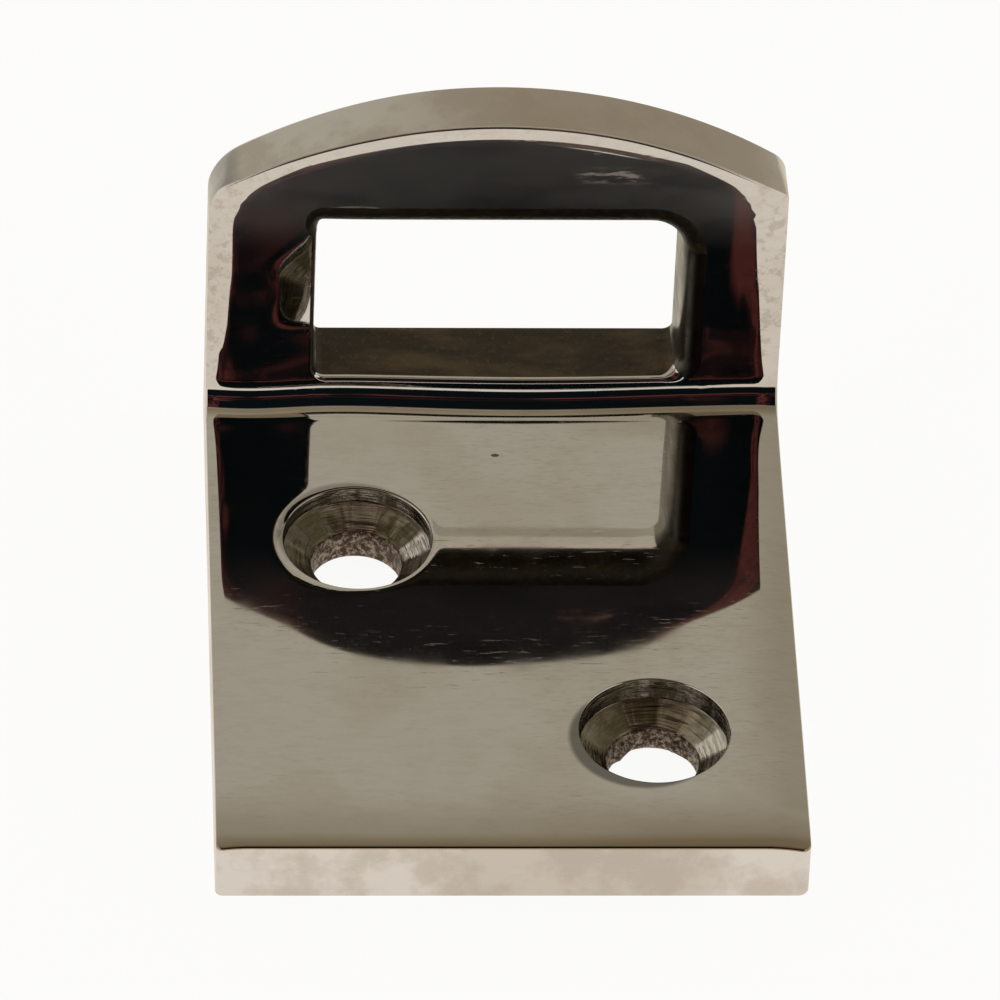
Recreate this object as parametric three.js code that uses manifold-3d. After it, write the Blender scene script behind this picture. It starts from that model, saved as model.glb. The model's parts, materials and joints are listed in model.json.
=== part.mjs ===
// A deck eye bracket of polished stainless steel, cast in one piece: a flat base plate with two
// staggered countersunk screw holes, and at its rear an upright flange with a wide slot under an
// arched crown. Strap, line or a hook goes through the slot.
//
// Millimetres, +Z up, +Y towards the rear, +X to the right as seen from the front. The origin is
// at the middle of the underside.

import * as THREE from 'three';
import { mergeVertices } from 'three/addons/utils/BufferGeometryUtils.js';
import Module from 'manifold-3d';

const manifold = await Module();
manifold.setup();

// Base plate
const WIDTH = 40;
const BASE_REACH = 45.2; // from the upright's front face to the base's front edge
const BASE_THICKNESS = 4.75;
const PLAN_CORNER_RADIUS = 0.7;

// Upright flange
const UPRIGHT_THICKNESS = 4.6;
const CROWN_HEIGHT = 29.4; // from the underside to the top of the arch
const CROWN_RADIUS = 34.2;
const INSIDE_FILLET_RADIUS = 1.6;

// The slot opens towards the front by the casting's draft, and more at its right end
const SLOT_REAR = { left: -12.4, right: 12.7, bottom: 7.45, top: 20.9 };
const SLOT_FRONT = { left: -12.9, right: 14.2, bottom: 6.65, top: 21.25 };
const SLOT_CORNER_RADIUS = 0.8;

// Screw holes: a cast through hole, opened out with a drill whose point leaves a blunt cone
const THROUGH_HOLE_RADIUS = 3.12;
const HEAD_RADIUS = 5.12;
const DRILL_POINT_HALF_ANGLE = THREE.MathUtils.degToRad(59);
const REAR_HOLE = { x: -9.75, fromUpright: 14.35, wallDepth: 1.25 };
const FRONT_HOLE = { x: 9.9, fromUpright: 33.8, wallDepth: 1.75 };

// Finishing
const EDGE_SOFTENING = 0.25;
const EDGE_SEGMENTS = 2;
const ARC_SEGMENTS = 40;
const HOLE_SEGMENTS = 56;
const CUT_MARGIN = 2; // how far a cutter reaches past the faces that it cuts
const JOIN_DEPTH = 0.8; // how far the fillet reaches into the plates that it joins

const REAR_Y = (BASE_REACH + UPRIGHT_THICKNESS) / 2;
const FACE_Y = REAR_Y - UPRIGHT_THICKNESS;
const FRONT_Y = -REAR_Y;

// Axes of a shape drawn in one of the bracket's planes: its x, its y and its extrusion
const FRONT_VIEW = [new THREE.Vector3(1, 0, 0), new THREE.Vector3(0, 0, 1), new THREE.Vector3(0, -1, 0)];
const SIDE_VIEW = [new THREE.Vector3(0, 1, 0), new THREE.Vector3(0, 0, 1), new THREE.Vector3(1, 0, 0)];

/** Turns a geometry drawn in its own XY plane so that it lies in one of the bracket's planes. */
function layInPlane(geometry, axes) {
  return geometry.applyMatrix4(new THREE.Matrix4().makeBasis(...axes));
}

/** A closed geometry as a manifold solid, with shared vertices merged and slivers dropped. */
function toSolid(geometry) {
  geometry.deleteAttribute('normal');
  geometry.deleteAttribute('uv');
  const merged = mergeVertices(geometry, 1e-4);
  const triangles = [];
  for (let i = 0; i < merged.index.count; i += 3) {
    const corners = [0, 1, 2].map((k) => merged.index.getX(i + k));
    if (new Set(corners).size === 3) triangles.push(...corners);
  }
  return new manifold.Manifold(
    new manifold.Mesh({
      numProp: 3,
      vertProperties: new Float32Array(merged.attributes.position.array),
      triVerts: new Uint32Array(triangles),
    }),
  );
}

/** A manifold solid as a geometry that a mesh can show. */
function toGeometry(solid) {
  const mesh = solid.getMesh();
  const geometry = new THREE.BufferGeometry();
  geometry.setAttribute('position', new THREE.BufferAttribute(mesh.vertProperties, 3));
  geometry.setIndex(new THREE.BufferAttribute(mesh.triVerts, 1));
  geometry.computeVertexNormals();
  return geometry;
}

/** A plate of the given outline from z = 0 to its thickness, with its edges softened. */
function softPlate(outline, thickness) {
  const geometry = new THREE.ExtrudeGeometry(outline, {
    depth: thickness - 2 * EDGE_SOFTENING,
    curveSegments: ARC_SEGMENTS,
    bevelThickness: EDGE_SOFTENING,
    bevelSize: EDGE_SOFTENING,
    bevelOffset: -EDGE_SOFTENING,
    bevelSegments: EDGE_SEGMENTS,
  });
  return geometry.translate(0, 0, EDGE_SOFTENING);
}

/** A rectangle with round corners. */
function roundedRectangle(left, right, bottom, top, radius) {
  const shape = new THREE.Shape();
  shape.moveTo(left + radius, bottom);
  shape.absarc(right - radius, bottom + radius, radius, -Math.PI / 2, 0);
  shape.absarc(right - radius, top - radius, radius, 0, Math.PI / 2);
  shape.absarc(left + radius, top - radius, radius, Math.PI / 2, Math.PI);
  shape.absarc(left + radius, bottom + radius, radius, Math.PI, Math.PI * 1.5);
  return shape;
}

function basePlate() {
  const outline = roundedRectangle(-WIDTH / 2, WIDTH / 2, FRONT_Y, REAR_Y, PLAN_CORNER_RADIUS);
  return toSolid(softPlate(outline, BASE_THICKNESS));
}

/** The upright: straight sides under an arch that runs the full width. */
function uprightPlate() {
  const half = WIDTH / 2;
  const archAngle = Math.asin(half / CROWN_RADIUS);
  const outline = new THREE.Shape();
  outline.moveTo(-half, 0);
  outline.lineTo(half, 0);
  outline.absarc(
    0,
    CROWN_HEIGHT - CROWN_RADIUS,
    CROWN_RADIUS,
    Math.PI / 2 - archAngle,
    Math.PI / 2 + archAngle,
  );
  outline.closePath();
  const geometry = layInPlane(softPlate(outline, UPRIGHT_THICKNESS), FRONT_VIEW);
  return toSolid(geometry.translate(0, REAR_Y, 0));
}

/** The concave fillet in the inside corner between the base's top and the upright's face. */
function insideFillet() {
  const r = INSIDE_FILLET_RADIUS;
  const section = new THREE.Shape();
  section.moveTo(JOIN_DEPTH, -JOIN_DEPTH);
  section.lineTo(JOIN_DEPTH, r);
  section.absarc(-r, r, r, 0, -Math.PI / 2, true);
  section.lineTo(-r, -JOIN_DEPTH);
  section.closePath();
  const length = WIDTH - 2 * EDGE_SOFTENING;
  const geometry = new THREE.ExtrudeGeometry(section, {
    depth: length,
    curveSegments: 8,
    bevelEnabled: false,
  });
  layInPlane(geometry, SIDE_VIEW);
  return toSolid(geometry.translate(-length / 2, FACE_Y, BASE_THICKNESS));
}

/** The slot's cutter, which grows evenly from the rear outline to the front one. */
function slotCutter() {
  const rear = SLOT_REAR;
  const front = SLOT_FRONT;
  const outline = roundedRectangle(rear.left, rear.right, rear.bottom, rear.top, SLOT_CORNER_RADIUS);
  const geometry = new THREE.ExtrudeGeometry(outline, {
    depth: UPRIGHT_THICKNESS + 2 * CUT_MARGIN,
    curveSegments: 6,
    bevelEnabled: false,
  });
  const position = geometry.attributes.position;
  for (let i = 0; i < position.count; i += 1) {
    const towardsFront = (position.getZ(i) - CUT_MARGIN) / UPRIGHT_THICKNESS;
    const across = (position.getX(i) - rear.left) / (rear.right - rear.left);
    const up = (position.getY(i) - rear.bottom) / (rear.top - rear.bottom);
    const left = THREE.MathUtils.lerp(rear.left, front.left, towardsFront);
    const right = THREE.MathUtils.lerp(rear.right, front.right, towardsFront);
    const bottom = THREE.MathUtils.lerp(rear.bottom, front.bottom, towardsFront);
    const top = THREE.MathUtils.lerp(rear.top, front.top, towardsFront);
    position.setX(i, THREE.MathUtils.lerp(left, right, across));
    position.setY(i, THREE.MathUtils.lerp(bottom, top, up));
  }
  layInPlane(geometry, FRONT_VIEW);
  return toSolid(geometry.translate(0, REAR_Y + CUT_MARGIN, 0));
}

/** A screw hole's cutter: through hole, drill-point cone and the straight wall above it. */
function holeCutter(hole) {
  const wallBottom = BASE_THICKNESS - hole.wallDepth;
  const coneHeight = (HEAD_RADIUS - THROUGH_HOLE_RADIUS) / Math.tan(DRILL_POINT_HALF_ANGLE);
  const profile = [
    new THREE.Vector2(0, -CUT_MARGIN),
    new THREE.Vector2(THROUGH_HOLE_RADIUS, -CUT_MARGIN),
    new THREE.Vector2(THROUGH_HOLE_RADIUS, wallBottom - coneHeight),
    new THREE.Vector2(HEAD_RADIUS, wallBottom),
    new THREE.Vector2(HEAD_RADIUS, BASE_THICKNESS + CUT_MARGIN),
    new THREE.Vector2(0, BASE_THICKNESS + CUT_MARGIN),
  ];
  const geometry = new THREE.LatheGeometry(profile, HOLE_SEGMENTS);
  geometry.rotateX(Math.PI / 2);
  return toSolid(geometry.translate(hole.x, FACE_Y - hole.fromUpright, 0));
}

function bracketCasting() {
  const solid = basePlate()
    .add(uprightPlate())
    .add(insideFillet())
    .subtract(slotCutter())
    .subtract(holeCutter(REAR_HOLE))
    .subtract(holeCutter(FRONT_HOLE));
  const steel = new THREE.MeshStandardMaterial({ color: 0xb4b0a6, roughness: 0.12, metalness: 1 });
  const mesh = new THREE.Mesh(toGeometry(solid), steel);
  mesh.name = 'bracket_casting';
  return mesh;
}

const eyeBracket = new THREE.Group();
eyeBracket.add(bracketCasting());

export default eyeBracket;
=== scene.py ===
"""Looks of the deck eye bracket: one buffed stainless casting, built as a fine closed mesh.

The inside skin runs along the base's top, round the fillet and up the flange's face. The outside
skin runs along the underside, round the heel and up the back. Each is laid out flat, as (across,
along), filled with triangles and bent into place. The rim, the slot's walls and the screw holes
join them. Millimetres here, metres in the scene.
"""

import json
import math
from functools import reduce

import bmesh
import bpy
import numpy as np
from mathutils import Matrix, Vector, noise
from mathutils.geometry import delaunay_2d_cdt


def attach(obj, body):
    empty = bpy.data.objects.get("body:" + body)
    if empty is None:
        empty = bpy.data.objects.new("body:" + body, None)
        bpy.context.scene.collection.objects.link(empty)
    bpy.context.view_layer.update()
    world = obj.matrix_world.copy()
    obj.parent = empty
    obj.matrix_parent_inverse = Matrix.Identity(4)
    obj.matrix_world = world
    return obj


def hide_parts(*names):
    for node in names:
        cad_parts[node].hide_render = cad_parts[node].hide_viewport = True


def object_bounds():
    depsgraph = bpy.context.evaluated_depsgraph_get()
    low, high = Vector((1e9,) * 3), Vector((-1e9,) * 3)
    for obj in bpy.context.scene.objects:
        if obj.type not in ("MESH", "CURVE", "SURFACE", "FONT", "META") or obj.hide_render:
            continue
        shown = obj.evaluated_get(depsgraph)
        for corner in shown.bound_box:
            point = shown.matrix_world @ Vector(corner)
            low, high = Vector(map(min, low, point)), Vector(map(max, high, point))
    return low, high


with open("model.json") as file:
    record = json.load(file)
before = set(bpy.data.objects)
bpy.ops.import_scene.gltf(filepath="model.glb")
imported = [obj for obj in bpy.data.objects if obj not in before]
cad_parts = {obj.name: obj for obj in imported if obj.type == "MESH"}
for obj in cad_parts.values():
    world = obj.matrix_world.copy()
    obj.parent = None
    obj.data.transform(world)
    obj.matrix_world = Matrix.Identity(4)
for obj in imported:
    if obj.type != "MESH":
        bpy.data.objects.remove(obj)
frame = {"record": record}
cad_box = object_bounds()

MM = 0.001
RECORD = frame["record"]

# The casting's box and its driving sizes
HALF_WIDTH = cad_box[1].x / MM
FRONT_Y = cad_box[0].y / MM
REAR_Y = cad_box[1].y / MM
CROWN_TOP = cad_box[1].z / MM
BASE_THICKNESS = 4.75
UPRIGHT_THICKNESS = 4.6
FACE_Y = REAR_Y - UPRIGHT_THICKNESS
FILLET_RADIUS = 2.15
HEEL_RADIUS = 0.8
CROWN_RADIUS = 34.2
CROWN_CENTRE_Z = CROWN_TOP - CROWN_RADIUS

# Left and right corners of the skins' outlines: at the front, and where the crown ends
PLAN_CORNERS = (0.5, 0.7)
INSIDE_SHOULDERS = (3.0, 0.6)
OUTSIDE_SHOULDERS = (4.4, 2.0)

# Buffing rolls each polished face down towards its edge, and the edge itself stays crisp
EDGE_RADIUS = 0.2
ROLL_RADIUS = 14.0
ROLL_ONSET = 0.14
ROLL_ONSET_LENGTH = 0.08
BASE_ROLL_START = {"left": 0.75, "right": 1.65, "front": 0.9}
CROWN_ROLL_START = 1.15
CROWN_ROLL_LESS_AT_RIGHT = 0.25
# how wide the roll is up each side of the upright: heights, and the widths there
LEFT_ROLL = ((9.2, 9.7, 11.5, 16.0, 21.0), (0.7, 1.05, 1.4, 1.7, 1.53))
RIGHT_ROLL = ((6.5, 16.0, 25.0), (1.2, 1.72, 2.1))
SHOULDER_ROLL_CORNER = 5.5
FRONT_ROLL_CORNER = 1.5
# the slot's and the holes' mouths roll on a tighter arc
MOUTH_ROLL_RADIUS = 6.0
# the crown's rear edge at the left, in the middle and at the right
CROWN_REAR_RADII = (0.6, 0.15, 0.25)

# The slot: its walls at the rear and at the front face, and how round each front edge is.
# Sides are left, right, bottom and top. Corners run anticlockwise from the bottom left.
SLOT_REAR = (-12.4, 12.7, 7.45, 20.7)
SLOT_FRONT = (-12.58, 12.95, 6.85, 19.97)
SLOT_REAR_CORNERS = (0.45, 0.7, 1.0, 0.45)
SLOT_FRONT_CORNERS = (0.9, 1.3, 2.3, 0.5)
SLOT_FRONT_ROUND = (0.3, 1.6, 0.4, 2.3)
SLOT_ROLL_START = (0.2, 0.1, 0.15, 0.1)
# above this height the front edge of the slot's left end keeps its scale
LEFT_LIP_SCALE_FROM = 10.5

# The screw holes. Each burr is (angle, half angle, depth).
REAR_HOLE, FRONT_HOLE = "rear_screw_hole", "front_screw_hole"
THROUGH_RADIUS = 3.12
HEAD_RADIUS = 5.12
RIM_RADIUS = 0.12
CORNER_SOFTENING = 0.05
DRILL_POINT_HALF_ANGLE = math.radians(59)
WALL_DEPTH = {REAR_HOLE: 1.25, FRONT_HOLE: 1.75}
HOLE_ROLL_START = {REAR_HOLE: 1.2, FRONT_HOLE: 0.35}
BORE_ROUGHNESS = {REAR_HOLE: 0.06, FRONT_HOLE: 0.17}
CHATTER_LOBES = {REAR_HOLE: 15, FRONT_HOLE: 13}
CHATTER = 0.035
WALL_GROOVES = (0.28, 0.62)
GROOVE_DEPTH = 0.05
GROOVE_HALF_WIDTH = 0.06
BURRS = {
    REAR_HOLE: ((2.6, 0.3, 0.12),),
    FRONT_HOLE: ((2.35, 0.36, 0.5), (0.95, 0.3, 0.3), (1.6, 0.16, 0.14)),
}

# What hand polishing did to the inside skin. The bulges are at the upright's foot.
MIDDLE_BULGE = 0.5
TOE_BULGE = 0.44
TOE_AT = -17
TOE_HALF_WIDTH = 4.5
BASE_DISH = 0.07
BASE_DISH_MORE_AT_RIGHT = 0.04
UPPER_LEFT_FALL = 0.2
LONG_WAVES = 0.012
SHORT_WAVES = 0.0015

# Shallow hollows that the wheel left in the upright's face: across, height, half sizes, depth
HOLLOWS = (
    (-16.9, 12.6, 0.9, 2.4, 0.035),
    (-19.0, 20.3, 5.5, 6.0, 0.12),
    (17.3, 13.5, 2.0, 7.0, 0.07),
)

# Dark marks on the base: painted dark reflections just outside the screw holes' rims, and one casting pit:
# the hole that they are measured from, place from it, half sizes, strength
PAINTED_REFLECTIONS_AND_PIT = (
    (FRONT_HOLE, (-0.75, -0.75), (5.3, 5.2), 0.75),
    (REAR_HOLE, (-0.4, 0.5), (5.35, 5.35), 0.5),
    (REAR_HOLE, (9.8, 8.5), (0.3, 0.17), 0.95),
)

# How finely the skins are filled, from the edges inwards
EDGE_ROWS = (0.12, 0.3, 0.55, 0.85, 1.2, 1.6, 2.05, 2.6)
HOLE_ROWS = (0.12, 0.3, 0.55, 0.85, 1.2)
GRID_STEP = 0.6
BEND_ROWS = 18
HOLE_POINTS = 120
LIP_LOOPS = 12
LIP_LOOPS_IN_FRONT = 9

# Material slots of the casting
BUFFED, LINISHED, MACHINED, CAST, GROUND, SCALE, SATIN = range(7)


def opening_centre(name):
    """Middle of one of the record's openings, in millimetres."""
    box = next(o["box_m"] for o in RECORD["physics"]["openings"] if o["name"] == name)
    return (np.array(box[0]) + np.array(box[1])) / 2 / MM


HOLES = {name: opening_centre(name)[:2] for name in WALL_DEPTH}


def smooth(low, high, value):
    """0 below low, 1 above high, and a smooth step between."""
    t = np.clip((np.asarray(value, float) - low) / (high - low), 0, 1)
    return t * t * (3 - 2 * t)


def grain(points, size, seed=0):
    """Smooth random values of about -1 to 1 at points, with bumps of the given size."""
    offset = Vector((17.3 * seed, -9.1 * seed, 5.7 * seed))
    return np.array([noise.noise(Vector(p).to_3d() / size + offset) for p in points])


# ---------------- the skins' sections

class Skin:
    """A skin of the bent sheet: flat from the front, round the bend, then straight up."""

    def __init__(self, level, bend_y, bend_radius, facing):
        self.level = level
        self.bend_y = bend_y
        self.radius = bend_radius
        self.facing = facing
        self.flat_length = bend_y - FRONT_Y
        self.bend_length = bend_radius * math.pi / 2

    def up(self, height):
        """Distance along the skin at a height on its upright part."""
        return self.flat_length + self.bend_length + height - self.level - self.radius

    def place(self, across, along):
        """Points of the skin in space, with its direction upwards along it and its normal."""
        turn = np.clip((along - self.flat_length) / self.radius, 0, math.pi / 2)
        before = np.minimum(along, self.flat_length)
        after = np.maximum(along - self.flat_length - self.bend_length, 0)
        zero = np.zeros_like(turn)
        y = FRONT_Y + before + self.radius * np.sin(turn)
        z = self.level + self.radius * (1 - np.cos(turn)) + after
        points = np.stack([across, y, z], 1)
        tangents = np.stack([zero, np.cos(turn), np.sin(turn)], 1)
        normals = self.facing * np.stack([zero, -np.sin(turn), np.cos(turn)], 1)
        return points, tangents, normals


INSIDE = Skin(BASE_THICKNESS, FACE_Y - FILLET_RADIUS, FILLET_RADIUS, 1)
OUTSIDE = Skin(0, REAR_Y - HEEL_RADIUS, HEEL_RADIUS, -1)


# ---------------- outlines, laid out flat

class Path:
    """Points of a closed outline, run anticlockwise, each with its outward direction."""

    def __init__(self):
        self.points = []
        self.outward = []

    def line(self, start, end, count, spacing=None):
        """Straight from start up to, and without, end. spacing may list the shares."""
        start, end = np.array(start, float), np.array(end, float)
        direction = (end - start) / np.linalg.norm(end - start)
        shares = np.arange(count) / count if spacing is None else spacing
        for share in shares:
            self.points.append(start + (end - start) * share)
            self.outward.append((direction[1], -direction[0]))

    def arc(self, centre, radius, start, end, count):
        """Round a centre from one angle up to, and without, the other."""
        for angle in start + (end - start) * np.arange(count) / count:
            direction = np.array([math.cos(angle), math.sin(angle)])
            self.points.append(np.array(centre) + radius * direction)
            self.outward.append(direction)

    def done(self):
        return np.array(self.points), np.array(self.outward)


def bend_stations(skin):
    """Distances along a skin's side where the rim has its points, from the fillet's foot up."""
    if skin is INSIDE:
        return skin.flat_length + skin.bend_length * np.arange(BEND_ROWS) / BEND_ROWS
    third = BEND_ROWS // 3
    foot = INSIDE.bend_y - FRONT_Y
    top = skin.up(BASE_THICKNESS + FILLET_RADIUS)
    heel_end = skin.flat_length + skin.bend_length
    return np.concatenate([
        np.linspace(foot, skin.flat_length, third, endpoint=False),
        np.linspace(skin.flat_length, heel_end, third, endpoint=False),
        np.linspace(heel_end, top, BEND_ROWS - 2 * third, endpoint=False),
    ])


def shoulder(radius):
    """Height of a shoulder arc's centre, and its angle where it meets the crown."""
    across = HALF_WIDTH - radius
    height = CROWN_CENTRE_Z + math.sqrt((CROWN_RADIUS - radius) ** 2 - across ** 2)
    return height, math.atan2(height - CROWN_CENTRE_Z, across)


def outline(skin, shoulders):
    """The skin's edge laid out flat: front, right side, crown, left side."""
    path = Path()
    left, right = PLAN_CORNERS
    left_round, right_round = shoulders
    bend = bend_stations(skin)
    bend_top = skin.up(BASE_THICKNESS + FILLET_RADIUS)
    lift = skin.up(0)
    right_z, right_angle = shoulder(right_round)
    left_z, left_angle = shoulder(left_round)
    path.line((left - HALF_WIDTH, 0), (HALF_WIDTH - right, 0), 80)
    path.arc((HALF_WIDTH - right, right), right, -math.pi / 2, 0, 8)
    path.line((HALF_WIDTH, right), (HALF_WIDTH, bend[0]), 84)
    path.line((HALF_WIDTH, bend[0]), (HALF_WIDTH, bend_top), BEND_ROWS,
              (bend - bend[0]) / (bend_top - bend[0]))
    path.line((HALF_WIDTH, bend_top), (HALF_WIDTH, lift + right_z), 36)
    path.arc((HALF_WIDTH - right_round, lift + right_z), right_round, 0, right_angle, 10)
    path.arc((0, lift + CROWN_CENTRE_Z), CROWN_RADIUS, right_angle, math.pi - left_angle, 110)
    path.arc((left_round - HALF_WIDTH, lift + left_z), left_round,
             math.pi - left_angle, math.pi, 10)
    path.line((-HALF_WIDTH, lift + left_z), (-HALF_WIDTH, bend_top), 36)
    down = np.append(bend, bend_top)[::-1][:-1]
    path.line((-HALF_WIDTH, bend_top), (-HALF_WIDTH, bend[0]), BEND_ROWS,
              (bend_top - down) / (bend_top - bend[0]))
    path.line((-HALF_WIDTH, bend[0]), (-HALF_WIDTH, left), 84)
    path.arc((left - HALF_WIDTH, left), left, math.pi, math.pi * 1.5, 8)
    return path.done()


def rounded_box(box, corners, lift):
    """A rectangle with its own radius at each corner, raised by lift."""
    path = Path()
    left, right = box[:2]
    bottom, top = box[2] + lift, box[3] + lift
    bl, br, tr, tl = corners
    path.line((left + bl, bottom), (right - br, bottom), 110)
    path.arc((right - br, bottom + br), br, -math.pi / 2, 0, 12)
    path.line((right, bottom + br), (right, top - tr), 56)
    path.arc((right - tr, top - tr), tr, 0, math.pi / 2, 12)
    path.line((right - tr, top), (left + tl, top), 110)
    path.arc((left + tl, top - tl), tl, math.pi / 2, math.pi, 12)
    path.line((left, top - tl), (left, bottom + bl), 56)
    path.arc((left + bl, bottom + bl), bl, math.pi, math.pi * 1.5, 12)
    return path.done()


def circle(centre, radius):
    """A screw hole's outline."""
    path = Path()
    path.arc(centre, radius, 0, 2 * math.pi, HOLE_POINTS)
    return path.done()


def by_side(outward, values):
    """A value for each outline point, blended from those of the four sides that it faces."""
    x, y = outward[:, 0], outward[:, 1]
    return sum(value * np.maximum(part, 0) ** 2 for value, part in zip(values, (-x, x, -y, y)))


# ---------------- how polishing rolls the faces

def corner_reach(first, second, spread, radius):
    """How far a point lies past a rounded corner, from how far it is past each straight edge."""
    a, b = first + radius, second + radius
    cosine, sine = math.cos(spread), math.sin(spread)
    round_part = np.sqrt(np.maximum(a * a + b * b - 2 * a * b * cosine, 0)) / sine
    in_wedge = (b > a * cosine) & (a > b * cosine) & (a > 0) & (b > 0)
    return np.where(in_wedge, round_part, np.maximum(a, b)) - radius


def edge_reach(across, along):
    """How far inside-skin points lie past the line where the face starts to roll down."""
    lift = INSIDE.up(0)
    height = along - lift
    on_upright = smooth(INSIDE.flat_length - 3, INSIDE.flat_length + 3, along)
    left = BASE_ROLL_START["left"] * (1 - on_upright) + np.interp(height, *LEFT_ROLL) * on_upright
    right = BASE_ROLL_START["right"] * (1 - on_upright) + np.interp(height, *RIGHT_ROLL) * on_upright
    side = np.maximum(left - (across + HALF_WIDTH), right - (HALF_WIDTH - across))
    front = BASE_ROLL_START["front"] - along
    crown_distance = CROWN_RADIUS - np.hypot(across, along - lift - CROWN_CENTRE_Z)
    crown = CROWN_ROLL_START - CROWN_ROLL_LESS_AT_RIGHT * smooth(8, 14, across) - crown_distance
    shoulder_turn = math.asin(HALF_WIDTH / CROWN_RADIUS)
    upper = corner_reach(side, crown, math.pi / 2 - shoulder_turn, SHOULDER_ROLL_CORNER)
    lower = corner_reach(side, front, math.pi / 2, FRONT_ROLL_CORNER)
    return np.maximum(np.where(along > INSIDE.flat_length, upper, lower), 0)


def middle_and_half(box, lift):
    """A raised rectangle's middle and its half sizes."""
    left, right, bottom, top = box
    middle = (left + right) / 2, (bottom + top) / 2 + lift
    return middle, ((right - left) / 2, (top - bottom) / 2)


def box_distance(across, along, box, corners, lift):
    """Distance outside a rectangle with its own corner radii; negative inside it."""
    middle, half = middle_and_half(box, lift)
    x, y = across - middle[0], along - middle[1]
    bl, br, tr, tl = corners
    radius = np.where(y > 0, np.where(x > 0, tr, tl), np.where(x > 0, br, bl))
    dx = np.abs(x) - half[0] + radius
    dy = np.abs(y) - half[1] + radius
    outside = np.hypot(np.maximum(dx, 0), np.maximum(dy, 0))
    return outside + np.minimum(np.maximum(dx, dy), 0) - radius


def grown(box, corners, amounts):
    """A rounded box let out on each side, with its corners let out to suit."""
    left, right, bottom, top = amounts
    sides = [side + move for side, move in zip(box, (-left, right, -bottom, top))]
    beside = (bottom + left, bottom + right, top + right, top + left)
    return sides, [radius + both / 2 for radius, both in zip(corners, beside)]


SLOT_MOUTH = grown(SLOT_FRONT, SLOT_FRONT_CORNERS, SLOT_FRONT_ROUND)


def slot_reach(across, along):
    """How far inside-skin points lie past the line where the face rolls into the slot."""
    lift = INSIDE.up(0)
    distance = box_distance(across, along, *SLOT_MOUTH, lift)
    middle, half = middle_and_half(SLOT_MOUTH[0], lift)
    facing = (np.stack([across, along], 1) - middle) / half
    facing = np.sign(facing) * np.abs(facing) ** 6
    facing /= np.linalg.norm(facing, axis=1, keepdims=True) + 1e-9
    return np.maximum(by_side(facing, SLOT_ROLL_START) - distance, 0)


def hole_reach(name, across, along):
    """How far inside-skin points lie past the line where the face rolls into a screw hole."""
    centre = HOLES[name] - (0, FRONT_Y)
    offset = np.stack([across, along], 1) - centre
    radius = np.linalg.norm(offset, axis=1)
    leftward = np.clip(-offset[:, 0] / np.maximum(radius, 1e-9), 0, 1)
    start = HOLE_ROLL_START[name] * (0.55 + 0.45 * leftward)
    return np.maximum(start - (radius - HEAD_RADIUS), 0)


def edge_roll(reach):
    """Depth of a face that rolls down to an outer edge: a soft crease, then a long arc."""
    crease = ROLL_ONSET_LENGTH * (1 - np.exp(-reach / ROLL_ONSET_LENGTH))
    return ROLL_ONSET * (reach - crease) + reach ** 2 / (2 * ROLL_RADIUS)


def edge_slope(reach):
    """Angle of that roll."""
    crease = 1 - np.exp(-reach / ROLL_ONSET_LENGTH)
    return np.arctan(ROLL_ONSET * crease + reach / ROLL_RADIUS)


def rolled(reach):
    """Depth of a face that rolls into a mouth."""
    reach = np.minimum(reach, MOUTH_ROLL_RADIUS * 0.9)
    return MOUTH_ROLL_RADIUS - np.sqrt(MOUTH_ROLL_RADIUS ** 2 - reach ** 2)


def rolled_slope(reach):
    """Angle of that roll."""
    return np.arcsin(np.minimum(reach, MOUTH_ROLL_RADIUS * 0.9) / MOUTH_ROLL_RADIUS)


def foot_bulge(across, along):
    """How far the fillet and what is just above it stand forward."""
    height = along - INSIDE.up(0)
    middle = MIDDLE_BULGE * (1 - smooth(0, 18, np.abs(across - 2))) * (1 - smooth(8, 12, height))
    toe = TOE_BULGE * np.exp(-((across - TOE_AT) / TOE_HALF_WIDTH) ** 2) * (1 - smooth(6.5, 15, height))
    turn = np.clip((along - INSIDE.flat_length) / FILLET_RADIUS, 0, math.pi / 2)
    return (middle + toe) * np.sin(turn)


def inside_depth(across, along):
    """How far polishing has taken the inside skin below its nominal surface."""
    depth = edge_roll(edge_reach(across, along)) - foot_bulge(across, along)
    depth += rolled(slot_reach(across, along))
    for name in HOLES:
        depth += rolled(hole_reach(name, across, along))
    flat = np.stack([across, along], 1)
    depth += LONG_WAVES * (1 + grain(flat, 11.0, 1)) + SHORT_WAVES * grain(flat, 4.0, 2)
    dish = BASE_DISH + BASE_DISH_MORE_AT_RIGHT * smooth(0, 16, across)
    bend = INSIDE.flat_length
    depth += dish * smooth(12, 22, along) * (1 - smooth(bend - 6, bend, along))
    depth += UPPER_LEFT_FALL * smooth(8, 19, -across) * smooth(16, 25, along - INSIDE.up(0))
    for across_at, height_at, wide, tall, deep in HOLLOWS:
        away = ((across - across_at) / wide) ** 2 + ((along - INSIDE.up(height_at)) / tall) ** 2
        depth += deep * np.exp(-away)
    return depth


def outside_depth(across, along):
    """How far the belt has taken the outside skin below its nominal surface."""
    return 0.006 * (1 + grain(np.stack([across, along], 1), 8.0, 5))


# ---------------- collecting the mesh

class Casting:
    """Vertices and faces of the closed mesh, gathered loop by loop."""

    def __init__(self):
        self.vertices = []
        self.faces = []
        self.materials = []

    def add(self, points):
        """Adds vertices and returns their numbers."""
        first = len(self.vertices)
        self.vertices.extend(points)
        return np.arange(first, first + len(points))

    def points(self, loop):
        return np.array([self.vertices[i] for i in loop])

    def bridge(self, first, second, material):
        """Quads between two loops of as many points, of one material or of one for each point."""
        after = np.roll(np.arange(len(first)), -1)
        material = np.broadcast_to(material, len(first))
        for i, j in enumerate(after):
            self.faces.append((first[i], first[j], second[j], second[i]))
            self.materials.append(int(material[i]))

    def strip(self, loops, material):
        """Quads between each loop and the next."""
        for first, second in zip(loops, loops[1:]):
            self.bridge(first, second, material)


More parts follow.
